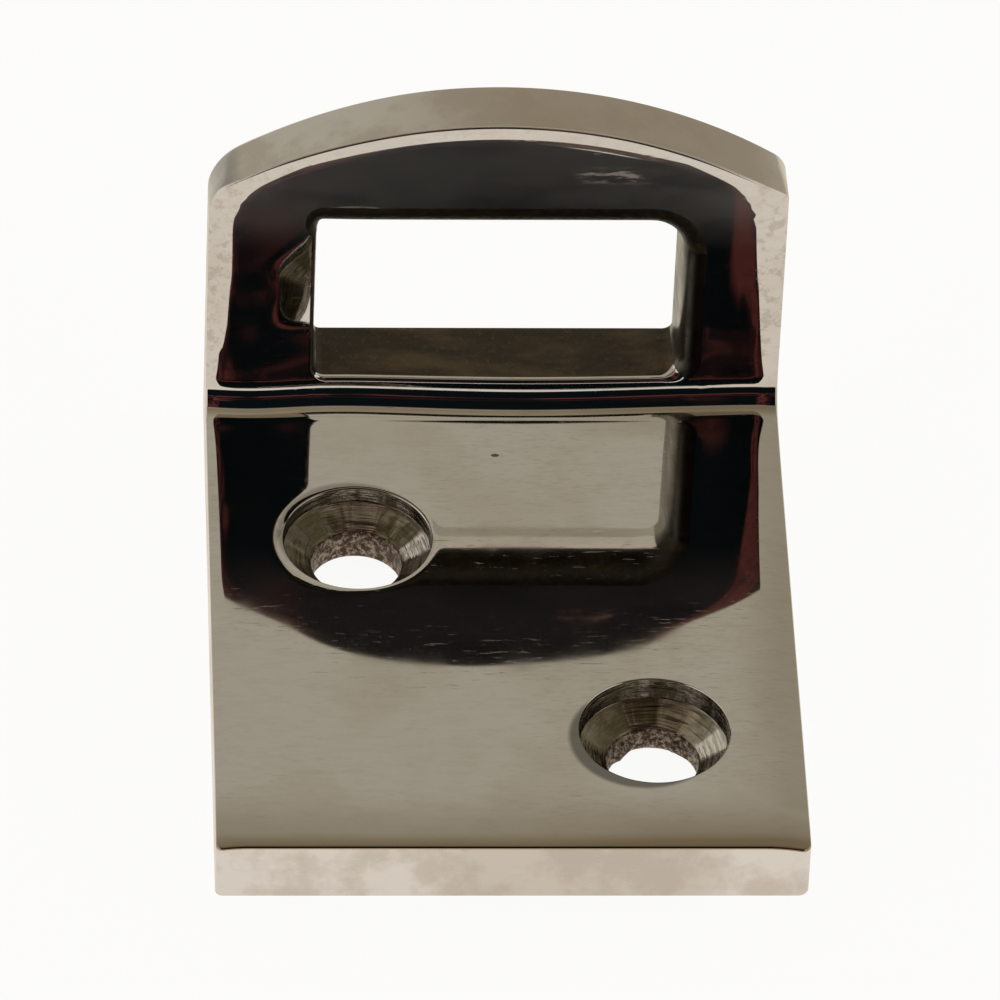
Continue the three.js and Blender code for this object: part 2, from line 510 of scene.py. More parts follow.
def inside_polygon(points, polygon):
    """Which points lie inside a closed polygon, by counting crossings."""
    x, y = points[:, 0, None], points[:, 1, None]
    x0, y0 = polygon[:, 0], polygon[:, 1]
    x1, y1 = np.roll(x0, -1), np.roll(y0, -1)
    crosses = (y0 > y) != (y1 > y)
    with np.errstate(divide="ignore", invalid="ignore"):
        at = x0 + (y - y0) * (x1 - x0) / (y1 - y0)
    return (crosses & (x < at)).sum(1) % 2 == 1


def fill(border, openings, extra):
    """Triangles of a flat region with openings. Returns all its points and its triangles."""
    points = np.concatenate([border, *openings, extra])
    edges, start = [], 0
    for loop in [border, *openings]:
        count = len(loop)
        edges += [(start + i, start + (i + 1) % count) for i in range(count)]
        start += count
    made = delaunay_2d_cdt([Vector(p) for p in points], edges, [], 0, 1e-6, True)
    source = [sources[0] for sources in made[3]]
    triangles = np.array([[source[v] for v in face] for face in made[2]])
    middles = points[triangles].mean(1)
    keep = inside_polygon(middles, border)
    for loop in openings:
        keep &= ~inside_polygon(middles, loop)
    return points, triangles[keep]


def inner_rows(points, outward, rows, clear):
    """Copies of an outline moved inwards row by row, where they come no nearer another edge."""
    found = []
    for row in rows:
        moved = points - outward * row
        found.append(moved[clear(moved) > row * 0.93])
    return np.concatenate(found)


def outline_distance(skin, points):
    """Distance of points from a skin's outline."""
    across, along = points[:, 0], points[:, 1]
    crown = CROWN_RADIUS - np.hypot(across, along - skin.up(0) - CROWN_CENTRE_Z)
    crown = np.where(along > skin.up(BASE_THICKNESS), crown, 99)
    return np.minimum.reduce([across + HALF_WIDTH, HALF_WIDTH - across, along, crown])


def openings_distance(skin, box, corners, points):
    """Distance of points from a skin's openings."""
    across, along = points[:, 0], points[:, 1]
    distances = [box_distance(across, along, box, corners, skin.up(0))]
    for centre in HOLES.values():
        middle = centre - (0, FRONT_Y)
        radius = HEAD_RADIUS if skin is INSIDE else THROUGH_RADIUS
        distances.append(np.linalg.norm(points - middle, axis=1) - radius)
    return np.minimum.reduce(distances)


def grid(skin):
    """Evenly spaced points over a whole skin, closer together round its bend."""
    across = np.arange(GRID_STEP / 2 - HALF_WIDTH, HALF_WIDTH, GRID_STEP)
    flat = np.arange(GRID_STEP / 2, skin.flat_length, GRID_STEP)
    bend = skin.flat_length + skin.bend_length * np.linspace(0, 1, BEND_ROWS + 1)
    above = np.arange(bend[-1] + GRID_STEP / 2, skin.up(CROWN_TOP), GRID_STEP)
    x, s = np.meshgrid(across, np.concatenate([flat, bend, above]))
    return np.stack([x.ravel(), s.ravel()], 1)


def skin_sheet(casting, skin, border, openings, box, depth, material):
    """Fills a skin and puts it in place. Returns its border loop and its openings' loops."""
    border_points, border_outward = border

    def from_outline(points):
        return outline_distance(skin, points)

    def from_openings(points):
        return openings_distance(skin, *box, points)

    rows = [inner_rows(border_points, border_outward, EDGE_ROWS, from_outline)]
    for points, towards_opening in openings:
        opening_rows = inner_rows(points, towards_opening, HOLE_ROWS, from_openings)
        rows.append(opening_rows[from_outline(opening_rows) > EDGE_ROWS[-1] + 0.25])
    spread = grid(skin)
    spread = spread[from_outline(spread) > EDGE_ROWS[-1] + 0.25]
    spread = spread[from_openings(spread) > HOLE_ROWS[-1] + 0.2]
    rows[0] = rows[0][from_openings(rows[0]) > 0.25]
    flat, triangles = fill(border_points, [loop for loop, _ in openings],
                           np.concatenate(rows + [spread]))
    points, _, normals = skin.place(flat[:, 0], flat[:, 1])
    points = points - normals * depth(flat[:, 0], flat[:, 1])[:, None]
    indices = casting.add(points)
    for triangle in triangles:
        casting.faces.append(tuple(indices[triangle]))
        casting.materials.append(material)
    loops, start = [], 0
    for loop in [border_points, *(points for points, _ in openings)]:
        loops.append(indices[start:start + len(loop)])
        start += len(loop)
    return loops


def edge_loops(casting, loop, normals, outward, radius, start, end, count, ease=1.0):
    """Loops that turn an edge on a small arc. An ease above 1 makes the first steps the finest."""
    points = casting.points(loop)
    radius, start, end = (np.broadcast_to(v, len(points))[:, None] for v in (radius, start, end))
    centres = points - radius * (np.cos(start) * normals + np.sin(start) * outward)
    loops = [loop]
    for share in (np.arange(1, count + 1) / count) ** ease:
        angle = start + (end - start) * share
        arc = centres + radius * (np.cos(angle) * normals + np.sin(angle) * outward)
        loops.append(casting.add(arc))
    return loops


def wall_loops(casting, first, last, count, displace=None):
    """Evenly spaced loops between two loops, moved by displace(points, share) if it is given."""
    a, b = casting.points(first), casting.points(last)
    loops = [first]
    for share in np.arange(1, count) / count:
        points = a + (b - a) * share
        if displace is not None:
            points = points + displace(points, share)
        loops.append(casting.add(points))
    loops.append(last)
    return loops


def in_space(skin, flat, flat_directions):
    """The normals of a skin at flat points, and flat directions turned into space."""
    _, tangents, normals = skin.place(flat[:, 0], flat[:, 1])
    across = flat_directions[:, :1] * np.array([[1.0, 0, 0]])
    return normals, across + flat_directions[:, 1:] * tangents


# ---------------- the casting

def rear_edge_radius(points, skin):
    """Radius of the outside skin's edge: small, but generous towards the crown's ends."""
    across, along = points[:, 0], points[:, 1]
    on_crown = smooth(skin.up(CROWN_TOP - 9.5), skin.up(CROWN_TOP - 6.5), along)
    left, middle, right = CROWN_REAR_RADII
    crown = middle + (left - middle) * smooth(4, HALF_WIDTH - 1, -across)
    crown = crown + (right - middle) * smooth(4, HALF_WIDTH - 1, across)
    return EDGE_RADIUS + (crown - EDGE_RADIUS) * on_crown


def slot_stations():
    """Front and rear outlines of the slot's walls, with the front edge's radius and the taper."""
    front = rounded_box(SLOT_FRONT, SLOT_FRONT_CORNERS, INSIDE.up(0))
    rear = rounded_box(SLOT_REAR, SLOT_REAR_CORNERS, OUTSIDE.up(0))
    radius = by_side(front[1], SLOT_FRONT_ROUND)
    heights = np.array([INSIDE.up(0), OUTSIDE.up(0)])
    gap = (front[0] - (0, heights[0])) - (rear[0] - (0, heights[1]))
    taper = np.arctan((gap * front[1]).sum(1) / UPRIGHT_THICKNESS)
    return front, rear, radius, taper


def skin_openings(mouth, outward, hole_radius):
    """A skin's slot and screw holes, each with the directions towards its middle."""
    holes = [circle(centre - (0, FRONT_Y), hole_radius) for centre in HOLES.values()]
    return [(points, -away) for points, away in [(mouth, outward), *holes]]


def cone_heights(name):
    """Heights at which a screw hole's countersink begins and ends."""
    wall_bottom = BASE_THICKNESS - WALL_DEPTH[name]
    cone = (HEAD_RADIUS - THROUGH_RADIUS) / math.tan(DRILL_POINT_HALF_ANGLE)
    return wall_bottom, wall_bottom - cone


def build_casting():
    casting = Casting()
    quarter = math.pi / 2

    # the inside skin, held back from its outline by the crisp edge
    points, outward = outline(INSIDE, INSIDE_SHOULDERS)
    start = edge_slope(edge_reach(points[:, 0], points[:, 1]))
    held_back = points - outward * (EDGE_RADIUS * (1 - np.sin(start)))[:, None]
    front, rear, front_radius, taper = slot_stations()
    mouth_slope = rolled_slope(by_side(front[1], SLOT_ROLL_START))
    mouth = front[0] + front[1] * (front_radius * (1 - np.sin(mouth_slope)))[:, None]
    openings = skin_openings(mouth, front[1], HEAD_RADIUS + RIM_RADIUS)
    inside = skin_sheet(casting, INSIDE, (held_back, outward), openings,
                        SLOT_MOUTH, inside_depth, BUFFED)

    # the outside skin
    rear_points, rear_outward = outline(OUTSIDE, OUTSIDE_SHOULDERS)
    rear_radius = rear_edge_radius(rear_points, OUTSIDE)
    rear_held = rear_points - rear_outward * rear_radius[:, None]
    back_mouth = rear[0] + rear[1] * EDGE_RADIUS
    openings = skin_openings(back_mouth, rear[1], THROUGH_RADIUS + EDGE_RADIUS)
    outside = skin_sheet(casting, OUTSIDE, (rear_held, rear_outward), openings,
                         (SLOT_REAR, SLOT_REAR_CORNERS), outside_depth, GROUND)

    # the rim round both skins
    front_edge = edge_loops(casting, inside[0], *in_space(INSIDE, held_back, outward),
                            EDGE_RADIUS, start, quarter, 5)
    rear_edge = edge_loops(casting, outside[0], *in_space(OUTSIDE, rear_held, rear_outward),
                           rear_radius, 0, quarter, 8)
    casting.strip(front_edge, BUFFED)
    casting.strip(wall_loops(casting, front_edge[-1], rear_edge[-1], 8), LINISHED)
    casting.strip(rear_edge, LINISHED)

    # the slot's walls
    normals, directions = in_space(INSIDE, mouth, -front[1])
    mouth_loops = edge_loops(casting, inside[1], normals, directions, front_radius,
                             mouth_slope, quarter - taper, LIP_LOOPS, 1.5)
    back_loops = edge_loops(casting, outside[1], *in_space(OUTSIDE, back_mouth, -rear[1]),
                            EDGE_RADIUS, 0, quarter + taper, 4)

    facing_up, facing_down = front[1][:, 1] < -0.7, front[1][:, 1] > 0.7
    rough = np.where(facing_up, 1.0, np.where(facing_down, 0.0, 0.4))

    def cast_skin(points, share):
        fade = smooth(0, 0.12, share) * smooth(0, 0.08, 1 - share)
        depth = 0.035 * grain(points, 0.55, 7) + 0.05 * grain(points, 1.9, 8)
        return directions * (rough * depth * fade)[:, None]

    wall_material = np.where(facing_up, SCALE, np.where(facing_down, BUFFED, SATIN))
    left_side = (front[1][:, 0] < -0.7) & (front[0][:, 1] > INSIDE.up(LEFT_LIP_SCALE_FROM))
    lip_material = np.where(facing_up, BUFFED, SATIN)
    # the mouth's top and upper left take the scale finish, which is painted nearly black near the top as
    # painted shade
    lip_material = np.where((front[1][:, 1] > 0.1) | left_side, SCALE, lip_material)
    casting.strip(mouth_loops[:LIP_LOOPS_IN_FRONT + 1], lip_material)
    casting.strip(mouth_loops[LIP_LOOPS_IN_FRONT:], np.where(facing_up, BUFFED, wall_material))
    casting.strip(wall_loops(casting, mouth_loops[-1], back_loops[-1], 22, cast_skin), wall_material)
    casting.strip(back_loops, wall_material)

    # the screw holes
    for k, (name, centre) in enumerate(HOLES.items()):
        screw_hole(casting, name, centre, inside[2 + k], outside[2 + k])
    return casting


def screw_hole(casting, name, centre, top, bottom):
    """The walls of a screw hole, from the base's top to its underside."""
    wall_bottom, cone_bottom = cone_heights(name)
    angles = 2 * math.pi * np.arange(HOLE_POINTS) / HOLE_POINTS
    out = np.stack([np.cos(angles), np.sin(angles), np.zeros(HOLE_POINTS)], 1)
    up = np.array([[0.0, 0.0, 1.0]])
    axis = np.array([centre[0], centre[1], 0.0])

    def ring(radius, height):
        return casting.add(axis + out * np.reshape(radius, (-1, 1)) + up * height)

    rim = edge_loops(casting, top, np.repeat(up, HOLE_POINTS, 0), -out, RIM_RADIUS,
                     0, math.pi / 2, 3)
    foot = edge_loops(casting, bottom, np.repeat(-up, HOLE_POINTS, 0), -out, EDGE_RADIUS,
                      0, math.pi / 2, 3)
    burr = sum(deep * np.exp(-((angles - at) / wide) ** 2) for at, wide, deep in BURRS[name])
    wall = [rim[-1]]
    for below in WALL_GROOVES:
        for step, cut in ((-GROOVE_HALF_WIDTH, 0), (0, GROOVE_DEPTH), (GROOVE_HALF_WIDTH, 0)):
            wall.append(ring(HEAD_RADIUS + cut, BASE_THICKNESS - below - step))
    wall.append(ring(HEAD_RADIUS, wall_bottom + CORNER_SOFTENING))
    slope = (wall_bottom - cone_bottom) / (HEAD_RADIUS - THROUGH_RADIUS)
    lobes = np.cos(CHATTER_LOBES[name] * angles + 0.8 * np.sin(2 * angles))
    wall.append(ring(HEAD_RADIUS - 0.01, wall_bottom))
    for share in np.linspace(0.04, 0.96, 8):
        radius = HEAD_RADIUS + (THROUGH_RADIUS - HEAD_RADIUS) * share
        chatter = CHATTER * lobes * math.sin(math.pi * share) ** 0.5
        wall.append(ring(radius + chatter, wall_bottom - (HEAD_RADIUS - radius) * slope))
    roughness = BORE_ROUGHNESS[name]
    wobble = roughness * grain(out * 3.1, 1.2, 11) + roughness / 2 * grain(out * 3.1, 0.5, 12)

    def rough(share):
        points = axis + out * THROUGH_RADIUS + up * (cone_bottom * (1 - share))
        depth = 0.05 * grain(points, 0.5, 13) + wobble * share - burr * smooth(0.2, 0.9, share)
        return THROUGH_RADIUS + depth * smooth(0, 0.15, share) * smooth(0, 0.1, 1 - share)

    bore = [wall[-1]]
    for share in np.linspace(0.03, 0.95, 16):
        bore.append(ring(rough(share), cone_bottom + (EDGE_RADIUS - cone_bottom) * share))
    bore.append(foot[-1])
    casting.strip(rim, BUFFED)
    casting.strip(wall, MACHINED)
    casting.strip(bore, CAST)
    casting.strip(foot, CAST)


def add_object(name, data):
    """A new object, linked to the scene."""
    made = bpy.data.objects.new(name, data)
    bpy.context.scene.collection.objects.link(made)
    return made


def casting_object(name):
    """The casting as a closed, smooth-shaded mesh object in metres."""
    casting = build_casting()
    mesh = bpy.data.meshes.new(name)
    points = np.array(casting.vertices) * MM
    mesh.from_pydata(points.tolist(), [], [[int(v) for v in face] for face in casting.faces])
    mesh.polygons.foreach_set("material_index", casting.materials)
    mesh.polygons.foreach_set("use_smooth", [True] * len(mesh.polygons))
    work = bmesh.new()
    work.from_mesh(mesh)
    bmesh.ops.recalc_face_normals(work, faces=work.faces)
    open_edges = sum(not edge.is_manifold for edge in work.edges)
    if open_edges:
        raise RuntimeError(f"the casting's mesh has {open_edges} open edges")
    work.to_mesh(mesh)
    work.free()
    return add_object(name, mesh)


# ---------------- materials

BUFFED_CLEAN = (0.66, 0.645, 0.615, 1)
BUFFED_CLOUDY = (0.62, 0.595, 0.55, 1)
SMEARED = (0.5, 0.455, 0.39, 1)
SWIRLED = (0.42, 0.37, 0.3, 1)
PITTED = (0.06, 0.045, 0.035, 1)
NICKED = (0.42, 0.38, 0.32, 1)
MOTTLED = (0.4, 0.36, 0.31, 1)
PAINTED_REFLECTION_AND_PIT_GREY = (0.1, 0.1, 0.095, 1)
LIGHTLY_BUFFED = (0.31, 0.25, 0.175, 1)
LINISHED_CLEAN = (0.74, 0.725, 0.7, 1)
LINISHED_BLOTCHED = (0.62, 0.585, 0.54, 1)
CROWN_BROWN = (0.44, 0.375, 0.305, 1)
CROWN_END_PAINTED_REFLECTION = (0.22, 0.24, 0.27, 1)
FRONT_EDGE_WORN = (0.5, 0.45, 0.39, 1)
MACHINED_PALE = (0.46, 0.43, 0.37, 1)
MACHINED_DARK = (0.11, 0.095, 0.06, 1)
MACHINED_STAINED = (0.15, 0.11, 0.07, 1)
MACHINED_RINGS = (0.1, 0.085, 0.065, 1)
MACHINED_LEFT_PAINTED_SHADE = (0.15, 0.135, 0.09, 1)
PAINTED_HIGHLIGHT_WHITE = (0.98, 0.96, 0.93, 1)
CAST_BROWN = (0.085, 0.055, 0.035, 1)
CAST_SPECKS = (0.52, 0.46, 0.39, 1)
SCALE_GREY = (0.062, 0.053, 0.042, 1)
SCALE_BROWN = (0.12, 0.092, 0.06, 1)
SCALE_LUMPS = (0.2, 0.165, 0.12, 1)
SCALE_PAINTED_SHADE = (0.012, 0.011, 0.01, 1)
SATIN_PALE = (0.3, 0.29, 0.25, 1)
SATIN_DULL = (0.22, 0.205, 0.17, 1)
SATIN_PAINTED_SHADE = (0.014, 0.013, 0.012, 1)
GROUND_CLEAN = (0.62, 0.6, 0.57, 1)
GROUND_BLOTCHED = (0.54, 0.51, 0.47, 1)

# Heights over which what belongs to the base's top fades out
OFF_BASE = (5.2, 6.5)


class Nodes:
    """Short ways to add nodes to a material or world and to link them."""

    def __init__(self, tree):
        self.tree = tree
        self.tree.nodes.clear()

    def add(self, kind, **settings):
        node = self.tree.nodes.new(kind)
        for name, value in settings.items():
            setattr(node, name, value)
        return node

    def link(self, output, target):
        self.tree.links.new(output, target)

    def feed(self, target, value):
        """Sets a socket to a number or colour, or links another node's output to it."""
        if isinstance(value, bpy.types.NodeSocket):
            self.link(value, target)
        else:
            target.default_value = value

    def fed(self, kind, *values, named=(), result=0, **settings):
        """A result of a new node, whose inputs are fed with values in order and by name."""
        node = self.add(kind, **settings)
        for key, value in [*enumerate(values), *dict(named).items()]:
            self.feed(node.inputs[key], value)
        return node.outputs[result]

    def math(self, operation, *values):
        return self.fed("ShaderNodeMath", *values, operation=operation)

    def times(self, *values):
        return reduce(lambda a, b: self.math("MULTIPLY", a, b), values)

    def plus(self, *values):
        return reduce(lambda a, b: self.math("ADD", a, b), values)

    def highest(self, *values):
        return reduce(lambda a, b: self.math("MAXIMUM", a, b), values)

    def away(self, value, middle):
        """How far a value is from the middle, on either side."""
        return self.math("ABSOLUTE", self.math("SUBTRACT", value, middle))

    def step(self, value, low, high, to_low=0.0, to_high=1.0):
        """A smooth step of value from low to high, as to_low to to_high."""
        return self.fed("ShaderNodeMapRange", value, low, high, to_low, to_high,
                        interpolation_type="SMOOTHSTEP")

    def band(self, value, start, full, last, end):
        """1 from full to last, and smoothly down to 0 at start and at end."""
        return self.times(self.step(value, start, full), self.step(value, last, end, 1, 0))

    def xyz(self, vector):
        node = self.add("ShaderNodeSeparateXYZ")
        self.link(vector, node.inputs[0])
        return node.outputs

    def noise(self, vector, scale, detail=2.0, roughness=0.5):
        named = {"Vector": vector, "Scale": scale, "Detail": detail, "Roughness": roughness}
        return self.fed("ShaderNodeTexNoise", named=named, result="Fac")

    def stretched(self, vector, stretch, turn=(0, 0, 0)):
        named = {"Vector": vector, "Scale": stretch, "Rotation": turn}
        return self.fed("ShaderNodeMapping", named=named)

    def mix(self, share, first, second):
        named = {"Factor": share, "A": first, "B": second}
        return self.fed("ShaderNodeMix", named=named, result="Result", data_type="RGBA")


class Steel(Nodes):
    """A metal's nodes: its shader, its tint so far, and the object coordinates in millimetres."""

    def __init__(self, name, tint):
        self.material = bpy.data.materials.new(name)
        self.material.use_nodes = True
        super().__init__(self.material.node_tree)
        self.tint = tint
        self.shader = self.add("ShaderNodeBsdfPrincipled")
        self.set("Metallic", 1.0)
        self.link(self.shader.outputs[0], self.add("ShaderNodeOutputMaterial").inputs["Surface"])
        coordinates = self.add("ShaderNodeTexCoord").outputs
        self.at = self.stretched(coordinates["Object"], (1 / MM,) * 3)
        self.facing = coordinates["Normal"]

    def set(self, socket, value):
        self.feed(self.shader.inputs[socket], value)

    def streaks(self, stretch, detail=2.0, roughness=0.5, turn=(0, 0, 0)):
        return self.noise(self.stretched(self.at, stretch, turn), 1.0, detail, roughness)

    def paint(self, colour, *shares):
        """Lays a colour over the tint, as strongly as the product of the shares."""
        self.tint = self.mix(self.times(*shares), self.tint, colour)

    def finish(self, roughness, relief=None, strength=0, depth=0):
        """Gives the shader its tint, its roughness and a relief of a depth in metres."""
        self.set("Base Color", self.tint)
        self.set("Roughness", roughness)
        if relief is not None:
            named = {"Strength": strength, "Distance": depth, "Height": relief}
            self.set("Normal", self.fed("ShaderNodeBump", named=named))
        return self.material


def buffed_steel():
    """Hand-buffed mirror, with faint scuffs, haze, smears, a few casting pits and painted dark reflections
    round the screw holes.
    """
    steel = Steel("buffed_stainless", BUFFED_CLEAN)
    x, y, z = steel.xyz(steel.at)
    on_base = steel.step(z, *OFF_BASE, 1, 0)
    cloud = steel.noise(steel.at, 0.16, 3)
    nicks = steel.step(steel.streaks((0.5, 5, 5), 4, 0.7), 0.62, 0.74)

    # a film of polish is left on the upper half of the upright
    film = steel.step(steel.streaks((0.09, 0.25, 0.25), 5, 0.65), 0.25, 0.6, 0.4, 1)
    steel.set("Coat Weight", steel.times(steel.step(z, 18, 23), film))
    steel.set("Coat Roughness", 0.42)
    steel.set("Coat IOR", 1.9)

    steel.paint(BUFFED_CLOUDY, steel.step(cloud, 0.4, 0.7))
    steel.paint(SMEARED, steel.step(steel.streaks((0.5, 1.6, 1.6), 6, 0.7), 0.4, 0.75), 0.34)
    swirls = steel.step(steel.streaks((1.0, 6, 1), 4, 0.7, (0, 0, 0.8)), 0.5, 0.75)
    steel.paint(SWIRLED, swirls, steel.step(steel.noise(steel.at, 0.09, 2), 0.48, 0.62), 0.5)
    cells = steel.add("ShaderNodeTexVoronoi")
    steel.feed(cells.inputs["Vector"], steel.at)
    steel.feed(cells.inputs["Scale"], 0.2)
    chosen = steel.fed("ShaderNodeSeparateColor", cells.outputs["Color"])
    pits = steel.step(cells.outputs["Distance"], 0.025, 0.04, 1, 0)
    steel.paint(PITTED, pits, steel.step(chosen, 0.72, 0.74))
    steel.paint(NICKED, nicks, 0.3)

    mottle = steel.step(steel.noise(steel.at, 1.1, 5, 0.7), 0.48, 0.62, 0, 0.55)
    at_margins = steel.times(steel.step(steel.math("ABSOLUTE", x), 17.4, 18.2), steel.step(z, 6, 8))
    steel.paint(MOTTLED, mottle, at_margins)

    # painted dark reflections just outside the screw holes' rims, and one real casting pit
    for name, place, half_sizes, strength in PAINTED_REFLECTIONS_AND_PIT:
        squares = []
        for value, centre, half_size in zip((x, y), HOLES[name] + place, half_sizes):
            offset = steel.times(steel.math("SUBTRACT", value, float(centre)), 1 / half_size)
            squares.append(steel.math("POWER", offset, 2.0))
        steel.paint(PAINTED_REFLECTION_AND_PIT_GREY, steel.step(steel.plus(*squares), 0.84, 1, strength, 0), on_base)

    # towards the front, along the right margin and at the fillet's foot, the wheel ran lightly
    front = steel.times(steel.step(y, -24.6, -18.5, 1, 0), steel.step(x, 0, 14, 0.5, 0.75))
    front = steel.plus(front, steel.step(y, -24.8, -23.4, 0.4, 0))
    margin = steel.step(x, 14.5, 19.5, 0, 0.4)
    foot = steel.times(steel.step(y, 15.5, 17.5), steel.step(x, 2, 16, 0, 0.35))
    steel.paint(LIGHTLY_BUFFED, steel.highest(front, margin, foot), on_base)

    # a light rub under the crown
    rubbed = steel.step(steel.streaks((0.45, 2.2, 2.2), 5, 0.65), 0.42, 0.62)
    rub = steel.times(steel.step(steel.away(x, 8.0), 1, 4.5, 1, 0),
                      steel.step(steel.away(z, 25.2), 0.2, 1.1, 1, 0), rubbed, 0.38)
    scuffs = steel.step(steel.streaks((0.7, 9, 9), 3, 0.6), 0.62, 0.8, 0, 0.1)
    haze = steel.step(cloud, 0.45, 0.75, 0.03, 0.07)
    return steel.finish(steel.plus(haze, scuffs, rub), nicks, 0.2, 0.000004)


def linished_steel():
    """Belt-finished rim: satin, with blotches, short streaks, a browner crown and a painted bluish
    reflection at the crown's left end.
    """
    steel = Steel("linished_stainless", LINISHED_CLEAN)
    x, y, z = steel.xyz(steel.at)
    blotch = steel.noise(steel.at, 0.22, 5, 0.6)
    streaks = steel.streaks((0.5, 0.5, 5), 3, 0.6)
    steel.paint(LINISHED_BLOTCHED, steel.step(blotch, 0.42, 0.62))
    steel.paint(CROWN_BROWN, steel.step(z, 22, 25), steel.step(x, -12, 4), 0.78)
    # a painted bluish reflection at the crown's left end
    steel.paint(CROWN_END_PAINTED_REFLECTION, steel.step(x, -18.8, -17.6, 0.55, 0), steel.step(z, 20, 22))
    steel.paint(FRONT_EDGE_WORN, steel.step(x, -7, -2), steel.step(x, 12, 15, 0.45, 0),
                steel.step(y, -24.6, -24.2, 1, 0))
    roughness = steel.plus(steel.step(blotch, 0.3, 0.7, 0.14, 0.3),
                           steel.step(streaks, 0.4, 0.8, 0, 0.08))
    return steel.finish(roughness, streaks, 0.2, 0.00002)


def machined_steel():
    """Countersinks: rings left by the drill, dark residue, painted shade on the left and a painted
    highlight at the right.
    """
    steel = Steel("machined_stainless", MACHINED_PALE)
    rings = steel.streaks((0.25, 0.25, 7), 3, 0.7)
    stain = steel.noise(steel.at, 0.7, 4)
    # tones that change round the hole, by the way its wall faces
    around = steel.fed("ShaderNodeVectorMath", steel.stretched(steel.facing, (3.6, 3.6, 0)),
                       steel.stretched(steel.at, (0.11, 0.11, 0.02)), operation="ADD")
    steel.paint(MACHINED_DARK, steel.step(steel.noise(around, 1.0, 4, 0.65), 0.42, 0.58))
    steel.paint(MACHINED_STAINED, steel.step(stain, 0.5, 0.8, 0, 0.6))
    steel.paint(MACHINED_RINGS, steel.step(rings, 0.5, 0.68))
    facing_x, facing_y, _ = steel.xyz(steel.facing)
    # painted shade: the countersinks' left sides, which face right, are painted darker
    steel.paint(MACHINED_LEFT_PAINTED_SHADE, steel.step(facing_x, 0.1, 0.4, 0, 0.75))
    # a painted highlight: near white, on the countersinks' right sides where they face left, with less
    # roughness there
    highlight_side = steel.times(steel.step(facing_x, -0.5, -0.42, 1, 0),
                           steel.step(steel.away(facing_y, -0.1), 0.06, 0.2, 1, 0))
    painted_highlight = steel.times(highlight_side, steel.step(rings, 0.4, 0.6, 1, 0.5))
    steel.paint(PAINTED_HIGHLIGHT_WHITE, painted_highlight)
    dull = steel.step(stain, 0.35, 0.7, 0.16, 0.34)
    roughness = steel.math("SUBTRACT", dull, steel.times(painted_highlight, 0.1))
    return steel.finish(roughness, rings, 0.7, 0.00009)


def cast_steel():
    """The holes' narrow parts: grainy, with bright specks on a brown ground."""
    steel = Steel("as_cast_stainless", CAST_BROWN)
    lumps = steel.noise(steel.at, 3.0, 5, 0.75)
    steel.paint(CAST_SPECKS, steel.step(lumps, 0.46, 0.62))
    return steel.finish(steel.step(lumps, 0.35, 0.7, 0.3, 0.5), lumps, 0.9, 0.0002)


def scale_steel():
    """Dull brown casting scale on the slot's sill, and painted nearly black higher up, as painted shade on
    the lips round the slot's top.
    """
    steel = Steel("casting_scale", SCALE_GREY)
    lumps = steel.noise(steel.at, 2.2, 5, 0.65)
    steel.paint(SCALE_BROWN, steel.step(steel.streaks((0.16, 0.5, 0.5), 3), 0.42, 0.66))
    steel.paint(SCALE_LUMPS, steel.step(lumps, 0.5, 0.9))
    # painted shade: nearly black on the lips from 17 to 19 mm up
    steel.paint(SCALE_PAINTED_SHADE, steel.step(steel.xyz(steel.at)[2], 17, 19, 0, 0.65))
    return steel.finish(steel.step(lumps, 0.35, 0.7, 0.38, 0.55), lumps, 0.6, 0.0001)


def satin_steel():
    """The slot's ends: filed to a dull satin, with painted shade: near black at the lip and above, towards
    the front.
    """
    steel = Steel("satin_stainless", SATIN_PALE)
    blotch = steel.noise(steel.at, 0.5, 3)
    _, y, z = steel.xyz(steel.at)
    # painted shade: the lip and the upper front of the walls are painted near black
    lip = steel.step(y, FACE_Y + 0.1, FACE_Y + 1.1, 0.9, 0)
    upper = steel.times(steel.step(z, 13.5, 18.5, 0, 0.9),
                        steel.step(y, FACE_Y + 0.9, FACE_Y + 2.3, 1, 0))
    steel.paint(SATIN_DULL, steel.step(blotch, 0.4, 0.7))
    steel.paint(SATIN_PAINTED_SHADE, steel.highest(lip, upper))
    return steel.finish(steel.step(blotch, 0.3, 0.8, 0.26, 0.4))


def ground_steel():
    """Back and underside: left from the grinding belt."""
    steel = Steel("ground_stainless", GROUND_CLEAN)
    blotch = steel.noise(steel.at, 0.25, 3)
    steel.paint(GROUND_BLOTCHED, steel.step(blotch, 0.4, 0.7))
    streaks = steel.streaks((0.5, 7, 7), 4, 0.6)
    return steel.finish(steel.step(blotch, 0.3, 0.7, 0.16, 0.3), streaks, 0.35, 0.00004)


# ---------------- camera, floor and light

CAMERA_AZIMUTH = math.radians(-3.743)
CAMERA_ELEVATION = math.radians(41.92)
CAMERA_ROLL = math.radians(2.587)
CAMERA_DISTANCE = 0.7715
CAMERA_TARGET = Vector((-0.00106, -0.01008, 0.02259))
LENS = 415.1
SENSOR = 36.0

FLOOR_HALF_SIZE = 12.0
FLOOR_LEVEL = -0.00002
PAPER = (0.12, 0.12, 0.12, 1)
FLOOR_SEEN = (0.93, 0.93, 0.92, 1)
FLOOR_IN_FRONT = (0.84, 0.77, 0.69, 1)
FLOOR_PAINTED_SHADOW = (0.72, 0.67, 0.56, 1)
PAINTED_SHADOW_FROM = (0.02, 0.04)

ROOM_SEEN = (0.97, 0.97, 0.96, 1)
PALE_ROOM = (0.9, 0.84, 0.76, 1)
WALL_HIGH = (0.29, 0.235, 0.155, 1)
WALL_LOW = (0.485, 0.445, 0.365, 1)
BLUE_BLACK = (0.004, 0.0065, 0.008, 1)
DULL_RED = (0.19, 0.052, 0.047, 1)

